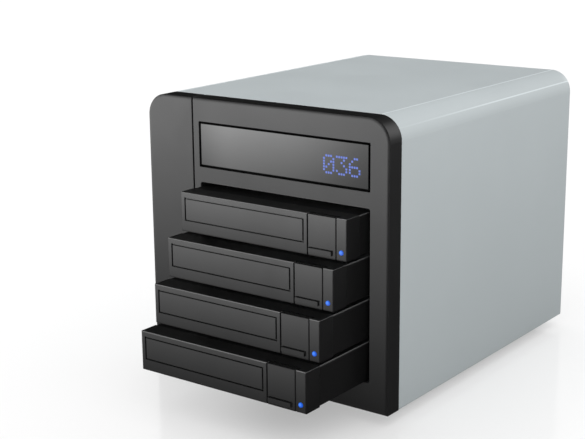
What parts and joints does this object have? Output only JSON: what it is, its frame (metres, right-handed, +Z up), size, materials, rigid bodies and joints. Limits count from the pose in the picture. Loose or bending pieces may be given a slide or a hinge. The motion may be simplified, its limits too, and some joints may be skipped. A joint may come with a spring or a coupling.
{
  "type": "network attached storage",
  "caption": "Desktop network attached storage box with a rounded silver cover, charcoal bezel, dot matrix display window and hot-swap drive trays drawn out in a cascade.",
  "frame": {"origin": "middle of the footprint box on the floor plane, with the trays drawn out as at rest", "axes": "+Z up, +Y from the bezel into the case, +X to the right as seen from the front"},
  "size_m": [0.216, 0.354, 0.2191],
  "materials": {
    "cover_paint": "satin silver powder paint",
    "rear_paint": "satin silver paint",
    "zinc_sheet": "galvanised sheet",
    "tray_sheet": "black painted sheet",
    "foot_rubber": "matte rubber",
    "bezel_plastic": "semi-gloss charcoal moulding",
    "tray_plastic": "fine textured charcoal moulding",
    "insert_plastic": "smooth charcoal moulding",
    "display_window": "smoked acrylic",
    "display_module": "display glass and board",
    "blue_led": "lit blue light pipe",
    "black_plastic": "black moulding",
    "button_plastic": "black gloss moulding",
    "circuit_board": "green solder mask",
    "heatsink_aluminium": "extruded aluminium",
    "port_shell": "tinned shell",
    "bright_wire": "plated wire",
    "screw_steel": "plated steel",
    "drive_casting": "cast aluminium"
  },
  "bodies": {
    "chassis": {"outer_cover": "cover_paint", "base_pan": "zinc_sheet", "rubber_feet": "foot_rubber", "rear_panel": "rear_paint", "bezel_side_strip": "bezel_plastic", "front_bezel": "bezel_plastic", "display_window": "display_window", "display_module": "display_module", "drive_cage": "zinc_sheet", "guide_rails": "black_plastic", "backplane_board": "circuit_board", "backplane_sockets": "black_plastic", "main_board": "circuit_board", "cpu_heatsink": "heatsink_aluminium", "rear_ports": "port_shell", "power_supply": "zinc_sheet", "power_inlet": "black_plastic", "fan_frame": "black_plastic", "fan_guard": "bright_wire", "case_screws": "screw_steel", "fan_screws": "screw_steel"},
    "tray_1": {"tray_1_front": "tray_plastic", "tray_1_insert": "insert_plastic", "tray_1_led_lens": "blue_led", "tray_1_hinge_pin": "screw_steel", "tray_1_tub": "tray_sheet", "tray_1_lid": "tray_sheet", "tray_1_drive": "drive_casting", "tray_1_drive_screws": "screw_steel"},
    "latch_1": {"tray_1_eject_flap": "tray_plastic"},
    "tray_2": {"tray_2_front": "tray_plastic", "tray_2_insert": "insert_plastic", "tray_2_led_lens": "blue_led", "tray_2_hinge_pin": "screw_steel", "tray_2_tub": "tray_sheet", "tray_2_lid": "tray_sheet", "tray_2_drive": "drive_casting", "tray_2_drive_screws": "screw_steel"},
    "latch_2": {"tray_2_eject_flap": "tray_plastic"},
    "tray_3": {"tray_3_front": "tray_plastic", "tray_3_insert": "insert_plastic", "tray_3_led_lens": "blue_led", "tray_3_hinge_pin": "screw_steel", "tray_3_tub": "tray_sheet", "tray_3_lid": "tray_sheet", "tray_3_drive": "drive_casting", "tray_3_drive_screws": "screw_steel"},
    "latch_3": {"tray_3_eject_flap": "tray_plastic"},
    "tray_4": {"tray_4_front": "tray_plastic", "tray_4_insert": "insert_plastic", "tray_4_led_lens": "blue_led", "tray_4_hinge_pin": "screw_steel", "tray_4_tub": "tray_sheet", "tray_4_lid": "tray_sheet", "tray_4_drive": "drive_casting", "tray_4_drive_screws": "screw_steel"},
    "latch_4": {"tray_4_eject_flap": "tray_plastic"},
    "fan_rotor": {"fan_rotor": "black_plastic"},
    "power_rocker": {"power_rocker": "black_plastic"},
    "power_button": {"power_button": "button_plastic"}
  },
  "joints": [
    {"name": "tray_1_slide", "type": "slide", "parent": "chassis", "child": "tray_1", "axis": [0, -1, 0], "range_m": [-0.0246, 0.1504]},
    {"name": "tray_2_slide", "type": "slide", "parent": "chassis", "child": "tray_2", "axis": [0, -1, 0], "range_m": [-0.04035, 0.13465]},
    {"name": "tray_3_slide", "type": "slide", "parent": "chassis", "child": "tray_3", "axis": [0, -1, 0], "range_m": [-0.0561, 0.1189]},
    {"name": "tray_4_slide", "type": "slide", "parent": "chassis", "child": "tray_4", "axis": [0, -1, 0], "range_m": [-0.0718, 0.1032]},
    {"name": "latch_1_hinge", "type": "hinge", "parent": "tray_1", "child": "latch_1", "pos_m": [0.06968, -0.12568, 0.15145], "axis": [-1, 0, 0], "range_deg": [0, 75]},
    {"name": "latch_2_hinge", "type": "hinge", "parent": "tray_2", "child": "latch_2", "pos_m": [0.06968, -0.14142, 0.1203], "axis": [-1, 0, 0], "range_deg": [0, 75]},
    {"name": "latch_3_hinge", "type": "hinge", "parent": "tray_3", "child": "latch_3", "pos_m": [0.06968, -0.15718, 0.08915], "axis": [-1, 0, 0], "range_deg": [0, 75]},
    {"name": "latch_4_hinge", "type": "hinge", "parent": "tray_4", "child": "latch_4", "pos_m": [0.06968, -0.17288, 0.058], "axis": [-1, 0, 0], "range_deg": [0, 75]},
    {"name": "fan_spin", "type": "hinge", "parent": "chassis", "child": "fan_rotor", "pos_m": [0.017, 0.15953, 0.0926], "axis": [0, 1, 0], "continuous": true},
    {"name": "rocker_tilt", "type": "hinge", "parent": "chassis", "child": "power_rocker", "pos_m": [0.053, 0.17342, 0.18445], "axis": [1, 0, 0], "range_deg": [-14, 0]},
    {"name": "button_press", "type": "slide", "parent": "chassis", "child": "power_button", "axis": [0, -1, 0], "range_m": [0, 0.0012], "stiffness_N_per_m": 1500, "springref_m": -0.0005}
  ]
}
